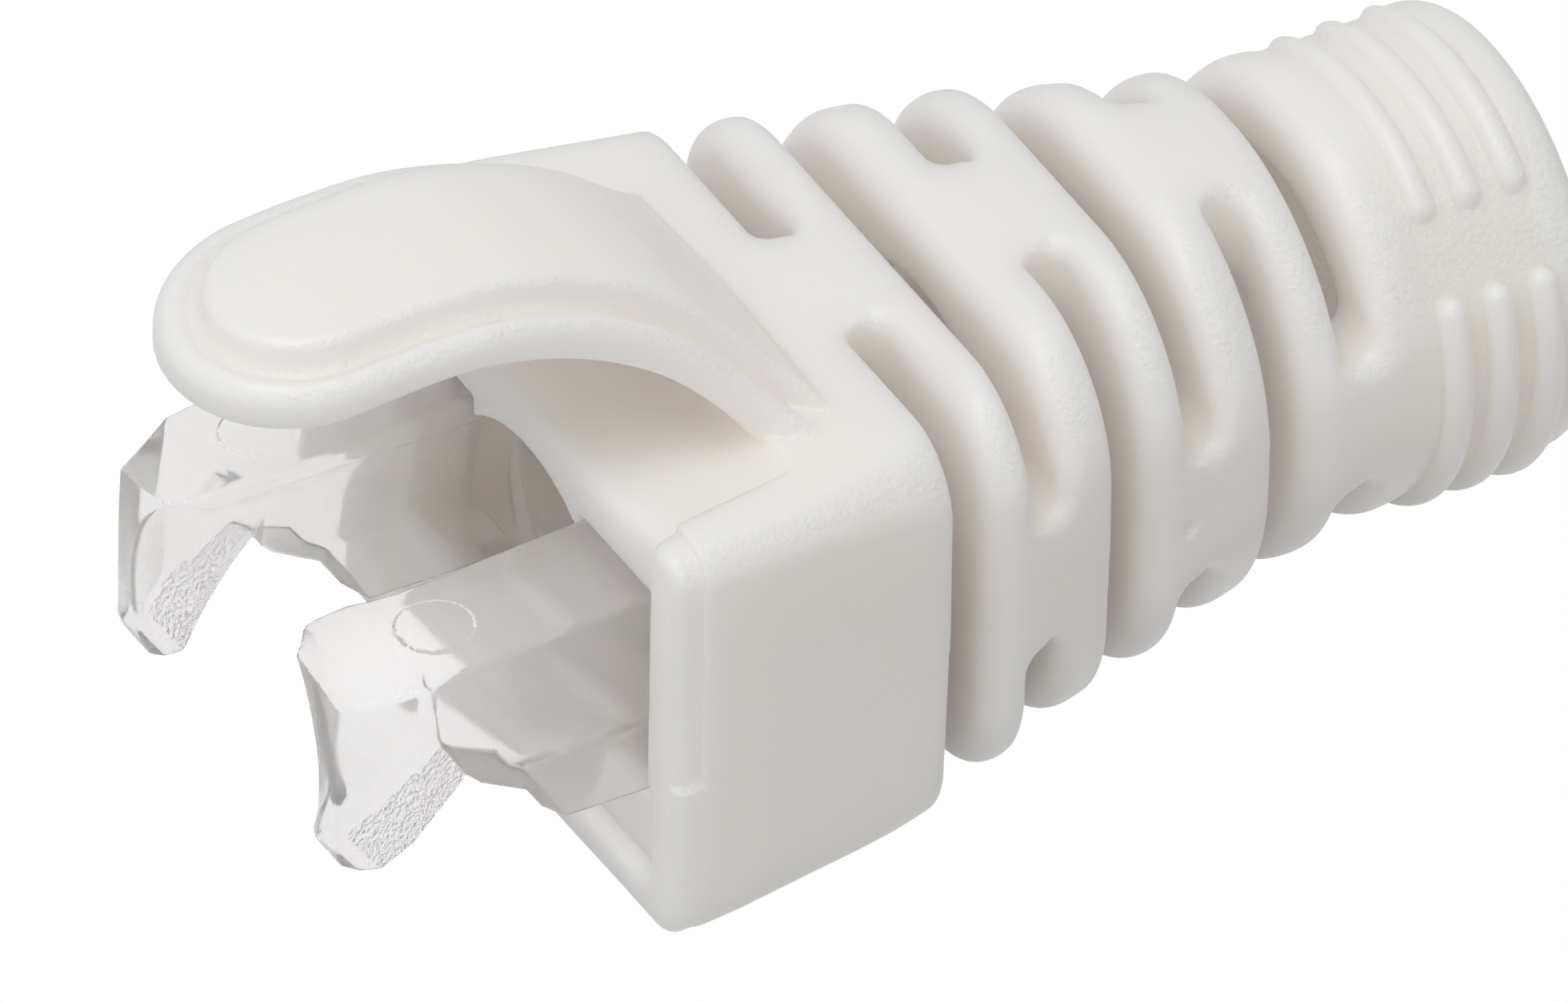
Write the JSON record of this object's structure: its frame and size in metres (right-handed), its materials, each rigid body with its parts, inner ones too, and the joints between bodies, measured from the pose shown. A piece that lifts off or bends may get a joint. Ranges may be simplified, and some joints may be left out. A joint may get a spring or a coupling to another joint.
{
  "type": "rj45 strain relief boot",
  "caption": "Soft white strain relief boot for an RJ45 plug, with a slotted flexible neck, a latch guard and a clear two-armed cable clamp in its mouth.",
  "frame": {"origin": "centre of the cable entry's end face, on the cable's axis", "axes": "+X along the cable, out of the boot; +Z towards the latch guard; Y across the plug"},
  "size_m": [0.0317, 0.015, 0.0149],
  "materials": {
    "boot": "soft moulded vinyl, satin, slightly rough",
    "clear_clamp": "clear moulded polycarbonate, frosted on the hooks' slanted faces"
  },
  "bodies": {
    "root": {"boot": "boot", "clear_clamp": "clear_clamp"}
  },
  "joints": []
}
